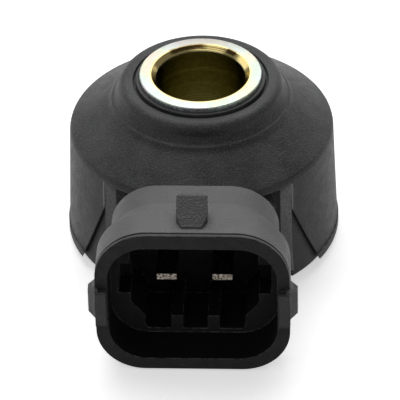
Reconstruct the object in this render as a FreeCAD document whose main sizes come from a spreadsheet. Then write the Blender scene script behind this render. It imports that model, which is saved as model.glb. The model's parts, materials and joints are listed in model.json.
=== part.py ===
"""Engine knock sensor of the washer kind, with a moulded connector socket.

Frame: the origin is on the bolt axis, on the contact face that is clamped to the engine block.
+Z runs up the bolt, and the connector points to -Y. All sizes are millimetres.
"""
import FreeCAD, Part
import math
import os
import Sketcher

# Each driving size is written once: its cell's name, its value and what it is.
DRIVING = (
    ("bore_diameter", 8.4, "clearance bore for an M8 bolt"),
    ("sleeve_height", 18.0, "contact face to bolt head seat"),
    ("sleeve_diameter", 11.54, "outside of the sleeve's tube"),
    ("bore_chamfer", 0.45, "at both ends of the bore"),
    ("flange_diameter", 20.0, "contact face"),
    ("flange_thickness", 3.0, "flange of the sleeve"),
    ("flange_edge", 0.3, "chamfer round the contact face"),
    ("ring_clearance", 0.05, "play of the rings on the sleeve and the bush"),
    ("bush_wall", 0.4, "insulating bush"),
    ("stack_diameter", 17.0, "outside of the piezo stack"),
    ("insulator_thickness", 0.3, "each insulating ring"),
    ("contact_thickness", 0.3, "each contact washer"),
    ("piezo_thickness", 3.0, "ceramic ring"),
    ("mass_height", 3.6, "seismic mass"),
    ("spring_thickness", 0.5, "disc spring's sheet"),
    ("spring_rise", 0.3, "cone height of the loaded disc spring"),
    ("nut_height", 2.2, "clamp nut"),
    ("nut_slot_width", 2.0, "spanner slots"),
    ("nut_slot_depth", 0.9, "spanner slots"),
    ("nut_slot_count", 4, "spanner slots"),
    ("base_height", 0.9, "moulding's underside above the contact face"),
    ("base_diameter", 25.9, "band round the foot"),
    ("band_height", 0.8, "band round the foot"),
    ("band_step", 0.1, "how proud the band stands"),
    ("wall_top_diameter", 25.0, "side wall under the shoulder, which tapers for the mould"),
    ("shoulder_bevel", 0.4, "bevel over the parting line, inward"),
    ("shoulder_bevel_rise", 0.5, "bevel over the parting line, upward"),
    ("cone_top_diameter", 17.3, "where the cone meets the collar"),
    ("cone_rise", 2.95, "parting line to where the cone meets the collar"),
    ("collar_rise", 0.45, "low collar round the boss's foot"),
    ("collar_slope", 0.2, "collar's side, inward"),
    ("boss_diameter", 15.4, "boss round the sleeve"),
    ("boss_rise", 1.9, "boss over the collar"),
    ("boss_draft", 0.15, "how much wider the boss is at its foot"),
    ("boss_round", 1.3, "boss's edge, drawn as two bevels"),
    ("seal_groove_width", 0.3, "ring groove between boss and lip"),
    ("seal_groove_depth", 0.45, "ring groove between boss and lip"),
    ("lip_width", 0.33, "lip of the moulding against the sleeve"),
    ("lip_rise", 0.2, "lip over the boss"),
    ("lip_drop", 0.5, "lip under the bolt head seat"),
    ("flat_distance", 8.93, "bolt axis to the flat behind the connector"),
    ("flat_half_width", 8.75, "flat behind the connector"),
    ("rim_thickness", 0.3, "shoulder's rim over the flat"),
    ("land_depth", 0.28, "sunk lands beside the flat"),
    ("land_height", 9.0, "tip of the sunk lands"),
    ("land_half_width", 11.6, "sunk lands at the foot"),
    ("neck_half_width", 7.2, "neck between body and connector"),
    ("neck_bottom", 1.0, "neck"),
    ("neck_top", 13.7, "neck where the socket reaches into it"),
    ("neck_waist", 11.7, "neck under the rim"),
    ("neck_round", 2.4, "neck's upper corners"),
    ("neck_foot_round", 0.6, "neck's lower corners"),
    ("neck_ramp_start", 11.5, "neck's top begins to rise"),
    ("neck_ramp_end", 13.3, "neck's top ends its rise"),
    ("shroud_rear", 14.5, "bolt axis to the shroud's free rear edge"),
    ("flare_start", 17.5, "bolt axis to where the shroud starts to widen"),
    ("flare_end", 18.8, "bolt axis to where the shroud is at its full width"),
    ("mouth_reach", 22.3, "bolt axis to the mouth"),
    ("mouth_groove_start", 0.55, "mouth back to the groove round the shroud"),
    ("mouth_lip", 0.3, "thin lip at the mouth"),
    ("mouth_groove_depth", 0.2, "groove behind the lip"),
    ("rear_half_width", 7.76, "shroud at its rear edge"),
    ("rear_top", 15.5, "shroud at its rear edge"),
    ("rear_bottom", 0.8, "shroud at its rear edge"),
    ("rear_round", 4.5, "shroud's corners at its rear edge"),
    ("mouth_half_width", 8.93, "outside of the mouth"),
    ("mouth_top", 15.54, "outside of the mouth"),
    ("mouth_bottom", 0.2, "outside of the mouth"),
    ("mouth_round_top", 4.9, "outside of the mouth"),
    ("mouth_round_bottom", 4.45, "outside of the mouth"),
    ("side_wall", 1.15, "wall of the mouth"),
    ("top_wall", 1.49, "wall of the mouth"),
    ("bottom_wall", 1.2, "wall of the mouth"),
    ("recess_round", 3.6, "corners of the mouth's opening"),
    ("recess_depth", 4.0, "mouth back to the keyed shoulder"),
    ("slot_depth", 6.7, "mouth back to the end of the side slots"),
    ("socket_depth", 9.4, "mouth back to the socket's end wall"),
    ("socket_top", 12.5, "socket behind the shoulder"),
    ("socket_floor", 1.84, "socket behind the shoulder"),
    ("socket_half_width", 5.95, "socket behind the shoulder"),
    ("socket_floor_half_width", 4.65, "socket's narrow foot"),
    ("socket_foot_height", 3.35, "where the socket's foot starts to widen"),
    ("socket_wide_height", 4.9, "where the socket reaches its full width"),
    ("socket_round", 0.5, "corners of the socket"),
    ("slot_half_width", 7.13, "side slots"),
    ("slot_bottom", 5.95, "side slots"),
    ("slot_top", 9.35, "side slots"),
    ("rib_width", 1.1, "key ribs on the socket's floor"),
    ("rib_height", 1.45, "key ribs on the socket's floor"),
    ("rib_spacing", 3.4, "between the two key ribs"),
    ("lug_reach", 0.7, "side lugs beyond the shroud"),
    ("lug_front", 0.6, "side lugs in front of the mouth"),
    ("lug_length", 1.9, "side lugs along the shroud"),
    ("lug_ramp", 1.1, "slanted front of the side lugs"),
    ("lug_bottom", 6.5, "side lugs"),
    ("lug_top", 9.7, "side lugs"),
    ("lug_bevel", 0.7, "slanted top of the side lugs"),
    ("pad_bottom", 5.55, "rough pads on the mouth's edge"),
    ("pad_top", 9.35, "rough pads on the mouth's edge"),
    ("latch_width", 2.85, "latch ramp"),
    ("latch_toe", 1.0, "mouth back to the ramp's toe"),
    ("latch_length", 2.6, "latch ramp"),
    ("latch_height", 1.95, "latch ramp over the shroud"),
    ("latch_crest", 0.4, "flat crest behind the ramp"),
    ("latch_round", 0.55, "rear corners of the latch ramp"),
    ("latch_bevel", 0.6, "cut corners at the ramp's toe"),
    ("blade_thickness", 0.8, "terminal blades"),
    ("blade_width", 1.95, "terminal blades"),
    ("blade_pitch", 5.15, "between the two terminals"),
    ("blade_recess", 4.4, "mouth back to the blades' tips"),
    ("blade_height", 7.55, "middle of the blades"),
    ("blade_tip", 0.3, "taper at the blades' tips"),
    ("leg_distance", 9.7, "bolt axis to the terminals' legs"),
    ("resistor_diameter", 1.7, "load resistor"),
    ("resistor_length", 2.4, "load resistor"),
    ("resistor_distance", 11.35, "bolt axis to the load resistor"),
    ("lead_diameter", 0.5, "resistor's leads"),
)

# Each derived size is worked out in the sheet from the cells above.
DERIVED = (
    ("bore_radius", "bore_diameter / 2"),
    ("bore_mouth_radius", "bore_radius + bore_chamfer"),
    ("bore_chamfer_top", "sleeve_height - bore_chamfer"),
    ("sleeve_radius", "sleeve_diameter / 2"),
    ("flange_radius", "flange_diameter / 2"),
    ("flange_face_radius", "flange_radius - flange_edge"),
    ("bush_inner", "sleeve_radius + ring_clearance"),
    ("bush_outer", "bush_inner + bush_wall"),
    ("stack_inner", "bush_outer + ring_clearance"),
    ("stack_radius", "stack_diameter / 2"),
    ("contact_lower_base", "flange_thickness + insulator_thickness"),
    ("piezo_base", "contact_lower_base + contact_thickness"),
    ("contact_upper_base", "piezo_base + piezo_thickness"),
    ("insulator_upper_base", "contact_upper_base + contact_thickness"),
    ("mass_base", "insulator_upper_base + insulator_thickness"),
    ("mass_top", "mass_base + mass_height"),
    ("mass_inner", "sleeve_radius + 2 * ring_clearance"),
    ("spring_outer_top", "mass_top + spring_thickness"),
    ("spring_inner_base", "mass_top + spring_rise"),
    ("spring_top", "spring_inner_base + spring_thickness"),
    ("nut_inner", "sleeve_radius + ring_clearance"),
    ("nut_slot_half", "nut_slot_width / 2"),
    ("nut_slot_floor", "stack_radius - nut_slot_depth"),
    ("nut_top", "spring_top + nut_height"),
    ("lip_height", "sleeve_height - lip_drop"),
    ("boss_height", "lip_height - lip_rise"),
    ("collar_height", "boss_height - boss_rise"),
    ("cone_top_height", "collar_height - collar_rise"),
    ("shoulder_height", "cone_top_height - cone_rise"),
    ("base_radius", "base_diameter / 2"),
    ("band_top", "base_height + band_height"),
    ("wall_foot_radius", "base_radius - band_step"),
    ("wall_top_radius", "wall_top_diameter / 2"),
    ("shoulder_bevel_radius", "wall_top_radius - shoulder_bevel"),
    ("shoulder_bevel_top", "shoulder_height + shoulder_bevel_rise"),
    ("cone_top_radius", "cone_top_diameter / 2"),
    ("collar_radius", "cone_top_radius - collar_slope"),
    ("boss_radius", "boss_diameter / 2"),
    ("boss_foot_radius", "boss_radius + boss_draft"),
    ("boss_side_drop", "boss_round * 0.72"),
    ("boss_side_radius", "boss_radius + boss_draft * boss_side_drop / boss_rise"),
    ("boss_side_top", "boss_height - boss_side_drop"),
    ("boss_bevel_radius", "boss_radius - boss_round * 0.15"),
    ("boss_bevel_height", "boss_height - boss_round * 0.2"),
    ("boss_face_radius", "boss_radius - boss_round * 0.75"),
    ("lip_radius", "sleeve_radius + lip_width"),
    ("seal_groove_radius", "lip_radius + seal_groove_width"),
    ("seal_groove_floor", "boss_height - seal_groove_depth"),
    ("rim_underside", "shoulder_height - rim_thickness"),
    ("clear_radius", "base_radius + 1"),
    ("land_foot_radius", "base_radius - land_depth - band_step"),
    ("land_top_radius", "wall_top_radius - land_depth"),
    ("neck_root", "flat_distance - 1"),
    ("neck_front", "shroud_rear + 0.5"),
    ("recess_half_width", "mouth_half_width - side_wall"),
    ("recess_top", "mouth_top - top_wall"),
    ("recess_bottom", "mouth_bottom + bottom_wall"),
    ("groove_half_width", "mouth_half_width - mouth_groove_depth"),
    ("groove_top", "mouth_top - mouth_groove_depth"),
    ("groove_bottom", "mouth_bottom + mouth_groove_depth"),
    ("groove_round_top", "mouth_round_top - mouth_groove_depth"),
    ("groove_round_bottom", "mouth_round_bottom - mouth_groove_depth"),
    ("mouth_groove_back", "mouth_reach - mouth_groove_start"),
    ("mouth_lip_back", "mouth_reach - mouth_lip"),
    ("rib_inner", "rib_spacing / 2 - rib_width / 2"),
    ("rib_outer", "rib_spacing / 2 + rib_width / 2"),
    ("rib_top", "socket_floor + rib_height"),
    ("lug_half_width", "mouth_half_width + lug_reach"),
    ("lug_root", "groove_half_width - 0.1"),
    ("lug_upper_bevel", "lug_top - lug_bevel"),
    ("lug_clear", "lug_half_width + 0.5"),
    ("lug_nose", "mouth_reach + lug_front"),
    ("lug_ramp_back", "lug_nose - lug_ramp"),
    ("pad_root", "recess_half_width + 0.05"),
    ("latch_half_width", "latch_width / 2"),
    ("latch_nose_half_width", "latch_half_width - latch_bevel"),
    ("latch_front", "mouth_reach - latch_toe"),
    ("latch_bevel_back", "latch_front - latch_bevel * 1.8"),
    ("latch_crest_front", "latch_front - latch_length"),
    ("latch_back", "latch_crest_front - latch_crest"),
    ("latch_root", "rear_top - top_wall / 2"),
    ("latch_top", "mouth_top + latch_height"),
    ("blade_half_thickness", "blade_thickness / 2"),
    ("blade_bottom", "blade_height - blade_half_thickness"),
    ("blade_top", "blade_height + blade_half_thickness"),
    ("blade_tip_bottom", "blade_bottom + blade_tip * 0.6"),
    ("blade_tip_top", "blade_top - blade_tip * 0.6"),
    ("blade_nose", "mouth_reach - blade_recess"),
    ("blade_nose_back", "blade_nose - blade_tip * 2"),
    ("blade_inner", "blade_pitch / 2 - blade_width / 2"),
    ("blade_outer", "blade_pitch / 2 + blade_width / 2"),
    ("leg_front", "leg_distance + blade_thickness"),
    ("tab_root", "stack_inner + 0.5"),
    ("resistor_radius", "resistor_diameter / 2"),
    ("resistor_end", "resistor_length / 2"),
    ("lead_radius", "lead_diameter / 2"),
    ("lead_length", "blade_inner - resistor_end"),
)

doc = FreeCAD.newDocument("knock_sensor")


def fill_sheet():
    """Put every size in the sheet, one row each: name, value or formula, and what it is."""
    cells = doc.addObject("Spreadsheet::Sheet", "Sizes")
    rows = [(name, str(value), note) for name, value, note in DRIVING]
    rows += [(name, "=" + formula, "") for name, formula in DERIVED]
    for row, (name, content, note) in enumerate(rows, start=1):
        cells.set(f"A{row}", name)
        cells.set(f"B{row}", content)
        cells.set(f"C{row}", note)
        cells.setAlias(f"B{row}", name)
    doc.recompute()
    return cells


sheet = fill_sheet()


def size(name):
    """A cell's value. A leading minus turns it round, and an empty name is zero."""
    if not name:
        return 0.0
    if name.startswith("-"):
        return -float(getattr(sheet, name[1:]))
    return float(getattr(sheet, name))


def link(name):
    """The expression that binds a property to a cell."""
    return f"-Sizes.{name[1:]}" if name.startswith("-") else f"Sizes.{name}"


def between(far, near):
    """The expression for the distance from one place to another."""
    return f"Sizes.{far} - Sizes.{near}"


def new_body(label):
    body = doc.addObject("PartDesign::Body", label)
    body.Label = label
    return body


def new_sketch(body, name, role, offset=""):
    """A sketch on one of the body's origin planes, moved along the plane's normal by a cell."""
    sketch = body.newObject("Sketcher::SketchObject", name)
    plane = next(item for item in body.Origin.OriginFeatures if item.Role == role)
    sketch.AttachmentSupport = [(plane, "")]
    sketch.MapMode = "FlatFace"
    if offset:
        sketch.setExpression("AttachmentOffset.Base.z", link(offset))
    return sketch


def dimension(sketch, kind, name, *ends):
    """One sketch dimension bound to a cell."""
    index = sketch.addConstraint(Sketcher.Constraint(kind, *ends, abs(size(name))))
    sketch.setExpression(f"Constraints[{index}]", link(name.lstrip("-")))


def place(sketch, geo, pos, across, up):
    """Hold a sketch point at the two named distances from the sketch's origin."""
    for kind, name, axis in (("DistanceX", across, -2), ("DistanceY", up, -1)):
        if not name:
            sketch.addConstraint(Sketcher.Constraint("PointOnObject", geo, pos, axis))
        elif name.startswith("-"):
            dimension(sketch, kind, name, geo, pos, -1, 1)
        else:
            dimension(sketch, kind, name, -1, 1, geo, pos)


def corner(before, here, after, radius):
    """Where a round at a corner starts and ends, its centre, and whether it turns left."""
    back = (before - here).normalize()
    ahead = (after - here).normalize()
    half = back.getAngle(ahead) / 2
    reach = radius / math.tan(half)
    start, end = here + back * reach, here + ahead * reach
    middle = (back + ahead).normalize()
    centre = here + middle * (radius / math.sin(half))
    return start, end, centre, back.cross(ahead).z < 0


def outline(sketch, corners):
    """Draw a closed outline through named corners: (across, up) or (across, up, round)."""
    count = len(corners)
    spots = [FreeCAD.Vector(size(item[0]), size(item[1]), 0) for item in corners]
    rounds = []
    for i, item in enumerate(corners):
        if len(item) == 3:
            rounds.append(corner(spots[i - 1], spots[i], spots[(i + 1) % count], size(item[2])))
        else:
            rounds.append((spots[i], spots[i], None, False))
    lines = []
    for i in range(count):
        segment = Part.LineSegment(rounds[i][1], rounds[(i + 1) % count][0])
        lines.append(sketch.addGeometry(segment, False))
    for i, item in enumerate(corners):
        arriving, leaving = lines[i - 1], lines[i]
        start, end, centre, left = rounds[i]
        if centre is None:
            sketch.addConstraint(Sketcher.Constraint("Coincident", arriving, 2, leaving, 1))
            place(sketch, leaving, 1, item[0], item[1])
            continue
        first, last = (start, end) if left else (end, start)
        begin = math.atan2(first.y - centre.y, first.x - centre.x)
        finish = math.atan2(last.y - centre.y, last.x - centre.x)
        circle = Part.Circle(centre, FreeCAD.Vector(0, 0, 1), size(item[2]))
        arc = sketch.addGeometry(Part.ArcOfCircle(circle, begin, finish), False)
        enter, leave = (1, 2) if left else (2, 1)
        sketch.addConstraint(Sketcher.Constraint("Tangent", arriving, 2, arc, enter))
        sketch.addConstraint(Sketcher.Constraint("Tangent", arc, leave, leaving, 1))
        dimension(sketch, "Radius", item[2], arc)
        tip = sketch.addGeometry(Part.Point(spots[i]), True)
        sketch.addConstraint(Sketcher.Constraint("PointOnObject", tip, 1, arriving))
        sketch.addConstraint(Sketcher.Constraint("PointOnObject", tip, 1, leaving))
        place(sketch, tip, 1, item[0], item[1])


def mirrored(corners):
    """The same outline on the other side of the sketch's upright axis."""
    flipped = []
    for item in reversed(corners):
        across = item[0][1:] if item[0].startswith("-") else "-" + item[0]
        flipped.append((across,) + tuple(item[1:]))
    return flipped


def pad(body, sketch, name, length, symmetric=False):
    feature = body.newObject("PartDesign::Pad", name)
    feature.Profile = sketch
    feature.Midplane = symmetric
    feature.setExpression("Length", length)
    return feature


def pocket(body, sketch, name, length=""):
    """Cut against the sketch's normal, through everything when no length is given."""
    feature = body.newObject("PartDesign::Pocket", name)
    feature.Profile = sketch
    if length:
        feature.setExpression("Length", length)
    else:
        feature.Type = "ThroughAll"
    return feature


def revolve(body, sketch, name):
    """Turn a sketch on the XZ plane round the bolt axis."""
    feature = body.newObject("PartDesign::Revolution", name)
    feature.Profile = sketch
    feature.ReferenceAxis = (sketch, ["V_Axis"])
    feature.Angle = 360
    return feature


def turned(label, corners):
    """A turned piece: one closed section, given as radius and height, round the bolt axis."""
    body = new_body(label)
    sketch = new_sketch(body, label + "_section", "XZ_Plane")
    outline(sketch, corners)
    revolve(body, sketch, label + "_turn")
    return body


def flat_ring(label, inner, outer, low, high):
    """A plain ring between two radii and two heights."""
    return turned(label, [(inner, low), (outer, low), (outer, high), (inner, high)])


def make_sleeve():
    """Turned steel sleeve: tube, flange, and a chamfered bore."""
    return turned("sleeve", [
        ("bore_mouth_radius", ""),
        ("flange_face_radius", ""),
        ("flange_radius", "flange_edge"),
        ("flange_radius", "flange_thickness"),
        ("sleeve_radius", "flange_thickness"),
        ("sleeve_radius", "sleeve_height"),
        ("bore_mouth_radius", "sleeve_height"),
        ("bore_radius", "bore_chamfer_top"),
        ("bore_radius", "bore_chamfer"),
    ])


def make_contact(label, low, high, side):
    """Contact washer with a tab that runs out under its terminal's leg."""
    body = flat_ring(label, "stack_inner", "stack_radius", low, high)
    sketch = new_sketch(body, label + "_tab_plan", "XY_Plane", low)
    tab = [
        ("blade_inner", "-tab_root"),
        ("blade_inner", "-leg_front"),
        ("blade_outer", "-leg_front"),
        ("blade_outer", "-tab_root"),
    ]
    outline(sketch, tab if side == "right" else mirrored(tab))
    pad(body, sketch, label + "_tab", link("contact_thickness"))
    return body


def make_mass():
    """Seismic mass: a heavy steel ring."""
    return flat_ring("seismic_mass", "mass_inner", "stack_radius", "mass_base", "mass_top")


def make_spring():
    """Disc spring: it bears on the mass at its outer edge and on the nut at its inner edge."""
    return turned("disc_spring", [
        ("stack_radius", "mass_top"),
        ("stack_radius", "spring_outer_top"),
        ("mass_inner", "spring_top"),
        ("mass_inner", "spring_inner_base"),
    ])


def make_nut():
    """Clamp nut: a ring with spanner slots cut from the side."""
    body = flat_ring("clamp_nut", "nut_inner", "stack_radius", "spring_top", "nut_top")
    sketch = new_sketch(body, "nut_slot_plan", "XY_Plane", "nut_top")
    outline(sketch, [
        ("nut_slot_floor", "-nut_slot_half"),
        ("base_radius", "-nut_slot_half"),
        ("base_radius", "nut_slot_half"),
        ("nut_slot_floor", "nut_slot_half"),
    ])
    slot = pocket(body, sketch, "nut_slot")
    slots = body.newObject("PartDesign::PolarPattern", "nut_slots")
    slots.Originals = [slot]
    slots.Axis = (sketch, ["N_Axis"])
    slots.Angle = 360
    slots.setExpression("Occurrences", link("nut_slot_count"))
    body.Tip = slots
    return body


def make_terminal(label, side, foot):
    """Blade terminal, bent down at its root onto the contact washer's tab."""
    body = new_body(label)
    inner_face = "blade_inner" if side == "right" else "-blade_outer"
    sketch = new_sketch(body, label + "_side_view", "YZ_Plane", inner_face)
    outline(sketch, [
        ("-leg_distance", foot),
        ("-leg_distance", "blade_top", "blade_half_thickness"),
        ("-blade_nose_back", "blade_top"),
        ("-blade_nose", "blade_tip_top"),
        ("-blade_nose", "blade_tip_bottom"),
        ("-blade_nose_back", "blade_bottom"),
        ("-leg_front", "blade_bottom"),
        ("-leg_front", foot),
    ])
    pad(body, sketch, label + "_strip", link("blade_width"))
    return body


def cross_cylinder(label, radius, length, start):
    """A cylinder laid across the part at the resistor's place, from a named side distance."""
    cylinder = doc.addObject("Part::Cylinder", label)
    cylinder.Label = label
    cylinder.setExpression("Radius", link(radius))
    cylinder.setExpression("Height", link(length))
    cylinder.setExpression("Placement.Base.x", link(start))
    cylinder.setExpression("Placement.Base.y", link("-resistor_distance"))
    cylinder.setExpression("Placement.Base.z", link("blade_height"))
    cylinder.Placement.Rotation = FreeCAD.Rotation(FreeCAD.Vector(0, 1, 0), 90)
    return cylinder


def make_resistor():
    """Load resistor: a small cylinder between the two terminals."""
    return cross_cylinder("load_resistor", "resistor_radius", "resistor_length", "-resistor_end")


def make_lead(label, side):
    """Lead wire: straight out of the resistor's end to the blade's inner edge."""
    start = "resistor_end" if side == "right" else "-blade_inner"
    return cross_cylinder(label, "lead_radius", "lead_length", start)


def body_section():
    """Half section of the moulding's round body: foot, wall, shoulder, cone, collar, boss and lip."""
    return [
        ("sleeve_radius", "base_height"),
        ("base_radius", "base_height"),
        ("base_radius", "band_top"),
        ("wall_foot_radius", "band_top"),
        ("wall_top_radius", "shoulder_height"),
        ("shoulder_bevel_radius", "shoulder_bevel_top"),
        ("cone_top_radius", "cone_top_height"),
        ("collar_radius", "collar_height"),
        ("boss_foot_radius", "collar_height"),
        ("boss_side_radius", "boss_side_top"),
        ("boss_bevel_radius", "boss_bevel_height"),
        ("boss_face_radius", "boss_height"),
        ("seal_groove_radius", "boss_height"),
        ("seal_groove_radius", "seal_groove_floor"),
        ("lip_radius", "seal_groove_floor"),
        ("lip_radius", "lip_height"),
        ("sleeve_radius", "lip_height"),
    ]


def rounded_mouth(half_width, bottom, top, round_bottom, round_top):
    """A connector section: four rounded corners, the lower two tighter than the upper two."""
    return [
        ("-" + half_width, bottom, round_bottom),
        (half_width, bottom, round_bottom),
        (half_width, top, round_top),
        ("-" + half_width, top, round_top),
    ]


NARROW = ("rear_half_width", "rear_bottom", "rear_top", "rear_round", "rear_round")
WIDE = ("mouth_half_width", "mouth_bottom", "mouth_top", "mouth_round_bottom", "mouth_round_top")
GROOVED = ("groove_half_width", "groove_bottom", "groove_top", "groove_round_bottom", "groove_round_top")
LOW_NECK = ("neck_half_width", "neck_bottom", "neck_waist", "neck_foot_round", "neck_round")
HIGH_NECK = ("neck_half_width", "neck_bottom", "neck_top", "neck_foot_round", "neck_round")
RECESS = ("recess_half_width", "recess_bottom", "recess_top", "recess_round", "recess_round")


def section_at(body, name, offset, names):
    """A connector section on a plane at a named distance in front of the bolt axis."""
    sketch = new_sketch(body, name, "XZ_Plane", offset)
    outline(sketch, rounded_mouth(*names))
    return sketch


def widen(body, name, rear, front):
    """A ruled loft between two connector sections."""
    loft = body.newObject("PartDesign::AdditiveLoft", name)
    loft.Profile = rear
    loft.Sections = [front]
    loft.Ruled = True


def add_neck(body):
    """Neck: low under the rim, then up a ramp to clear the socket that reaches into it."""
    waist = section_at(body, "neck_waist_section", "neck_root", LOW_NECK)
    pad(body, waist, "neck_waist_part", between("neck_ramp_start", "neck_root"))
    ramp_in = section_at(body, "neck_ramp_rear_section", "neck_ramp_start", LOW_NECK)
    ramp_out = section_at(body, "neck_ramp_front_section", "neck_ramp_end", HIGH_NECK)
    widen(body, "neck_ramp", ramp_in, ramp_out)
    front = section_at(body, "neck_front_section", "neck_ramp_end", HIGH_NECK)
    pad(body, front, "neck_front_part", between("neck_front", "neck_ramp_end"))


def add_shroud(body):
    """Connector shroud: narrow at the rear, flared to the mouth, with a thin lip at its edge."""
    rear = section_at(body, "shroud_rear_section", "shroud_rear", NARROW)
    pad(body, rear, "shroud_rear_part", between("flare_start", "shroud_rear"))
    flare_in = section_at(body, "flare_rear_section", "flare_start", NARROW)
    flare_out = section_at(body, "flare_front_section", "flare_end", WIDE)
    widen(body, "shroud_flare", flare_in, flare_out)
    front = section_at(body, "shroud_front_section", "flare_end", WIDE)
    pad(body, front, "shroud_front_part", between("mouth_groove_back", "flare_end"))
    groove = section_at(body, "mouth_groove_section", "mouth_groove_back", GROOVED)
    pad(body, groove, "mouth_groove", between("mouth_lip_back", "mouth_groove_back"))
    lip = section_at(body, "mouth_lip_section", "mouth_lip_back", WIDE)
    pad(body, lip, "mouth_lip", between("mouth_reach", "mouth_lip_back"))


def add_lugs(body):
    """Side lugs with a slanted front, and the rough pads that join them to the mouth's edge."""
    lug_view = new_sketch(body, "lug_section", "XZ_Plane", "lug_nose")
    lug = [
        ("lug_root", "lug_bottom"),
        ("lug_half_width", "lug_bottom"),
        ("lug_half_width", "lug_upper_bevel"),
        ("mouth_half_width", "lug_top"),
        ("lug_root", "lug_top"),
    ]
    outline(lug_view, lug)
    outline(lug_view, mirrored(lug))
    lugs = pad(body, lug_view, "side_lugs", link("lug_length"))
    lugs.Reversed = True
    ramp_view = new_sketch(body, "lug_ramp_plan", "XY_Plane", "shoulder_height")
    ramp = [
        ("mouth_half_width", "-lug_nose"),
        ("lug_clear", "-lug_nose"),
        ("lug_clear", "-lug_ramp_back"),
        ("lug_half_width", "-lug_ramp_back"),
    ]
    outline(ramp_view, ramp)
    outline(ramp_view, mirrored(ramp))
    pocket(body, ramp_view, "lug_ramps")
    pad_view = new_sketch(body, "pad_section", "XZ_Plane", "lug_nose")
    block = [
        ("pad_root", "pad_bottom"),
        ("mouth_half_width", "pad_bottom"),
        ("mouth_half_width", "pad_top"),
        ("pad_root", "pad_top"),
    ]
    outline(pad_view, block)
    outline(pad_view, mirrored(block))
    pads = pad(body, pad_view, "edge_pads", "Sizes.lug_front + Sizes.mouth_lip")
    pads.Reversed = True


def add_latch(body):
    """Latch ramp on top of the shroud: it rises from the mouth to a crest with a steep back."""
    plan = new_sketch(body, "latch_plan", "XY_Plane", "latch_root")
    outline(plan, [
        ("latch_half_width", "-latch_back", "latch_round"),
        ("-latch_half_width", "-latch_back", "latch_round"),
        ("-latch_half_width", "-latch_bevel_back"),
        ("-latch_nose_half_width", "-latch_front"),
        ("latch_nose_half_width", "-latch_front"),
        ("latch_half_width", "-latch_bevel_back"),
    ])
    pad(body, plan, "latch_block", between("latch_top", "latch_root"))
    slope = new_sketch(body, "latch_slope_section", "YZ_Plane", "-latch_width")
    outline(slope, [
        ("-latch_front", "mouth_top"),
        ("-latch_crest_front", "latch_top"),
        ("-mouth_reach", "latch_top"),
        ("-mouth_reach", "mouth_top"),
    ])
    cut = pocket(body, slope, "latch_slope", "2 * Sizes.latch_width")
    cut.Reversed = True


def cut_socket(body):
    """Socket: open mouth, side slots for the plug's key, and a ribbed, keyed opening."""
    mouth = section_at(body, "recess_section", "mouth_reach", RECESS)
    pocket(body, mouth, "mouth_recess", link("recess_depth"))
    slots = new_sketch(body, "side_slot_section", "XZ_Plane", "mouth_reach")
    outline(slots, [
        ("-slot_half_width", "slot_bottom"),
        ("slot_half_width", "slot_bottom"),
        ("slot_half_width", "slot_top"),
        ("-slot_half_width", "slot_top"),
    ])
    pocket(body, slots, "side_slots", link("slot_depth"))
    right_side = [
        ("rib_inner", "socket_floor"),
        ("rib_inner", "rib_top"),
        ("rib_outer", "rib_top"),
        ("rib_outer", "socket_floor"),
        ("socket_floor_half_width", "socket_floor", "socket_round"),
        ("socket_floor_half_width", "socket_foot_height", "socket_round"),
        ("socket_half_width", "socket_wide_height", "socket_round"),
        ("socket_half_width", "slot_bottom"),
        ("socket_half_width", "socket_top", "socket_round"),
    ]
    keyed = new_sketch(body, "keyed_section", "XZ_Plane", "mouth_reach")
    outline(keyed, right_side + mirrored(right_side))
    pocket(body, keyed, "keyed_opening", link("socket_depth"))


def make_housing_blank():
    """The moulding's outside and its socket, before the inserts' space is taken out."""
    body = turned("housing_blank", body_section())
    flat = new_sketch(body, "flat_plan", "XY_Plane", "rim_underside")
    outline(flat, [
        ("-flat_half_width", "-clear_radius"),
        ("flat_half_width", "-clear_radius"),
        ("flat_half_width", "-flat_distance"),
        ("-flat_half_width", "-flat_distance"),
    ])
    pocket(body, flat, "connector_flat")
    add_neck(body)
    add_shroud(body)
    add_latch(body)
    cut_socket(body)
    add_lugs(body)
    return body


def make_land_cutter():
    """The space of the two sunk lands: a thin skin of the wall inside two triangles."""
    skin = turned("land_skin", [
        ("land_foot_radius", ""),
        ("clear_radius", ""),
        ("clear_radius", "shoulder_height"),
        ("land_top_radius", "shoulder_height"),
    ])
    prism = new_body("land_prism")
    sketch = new_sketch(prism, "land_front_view", "XZ_Plane")
    right = [("flat_half_width", ""), ("land_half_width", ""), ("flat_half_width", "land_height")]
    outline(sketch, right)
    outline(sketch, mirrored(right))
    pad(prism, sketch, "land_reach", link("clear_radius"))
    cutter = doc.addObject("Part::Common", "land_cutter")
    cutter.Label = "land_cutter"
    cutter.Base = skin
    cutter.Tool = prism
    return cutter


def make_stack_space():
    """The space that the stack, its spring and its nut take up inside the moulding."""
    return turned("stack_space", [
        ("sleeve_radius", "flange_thickness"),
        ("stack_radius", "flange_thickness"),
        ("stack_radius", "nut_top"),
        ("sleeve_radius", "nut_top"),
    ])


def make_housing(inserts):
    """The finished moulding: the blank with the space of everything that it is moulded round."""
    blank = make_housing_blank()
    space = doc.addObject("Part::MultiFuse", "insert_space")
    space.Shapes = [make_stack_space(), make_land_cutter()] + inserts
    housing = doc.addObject("Part::Cut", "housing")
    housing.Label = "housing"
    housing.Base = blank
    housing.Tool = space
    return housing


def check(items):
    """Stop before anything is written if a feature failed or a piece isn't a sound solid."""
    for item in doc.Objects:
        if "Invalid" in item.State or "Error" in item.State:
            raise RuntimeError(f"{item.Name} failed: {item.State}")
    for item in items:
        if item.Shape.isNull() or not item.Shape.isValid() or not item.Shape.Solids:
            raise RuntimeError(f"{item.Label} is not a sound solid")


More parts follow.
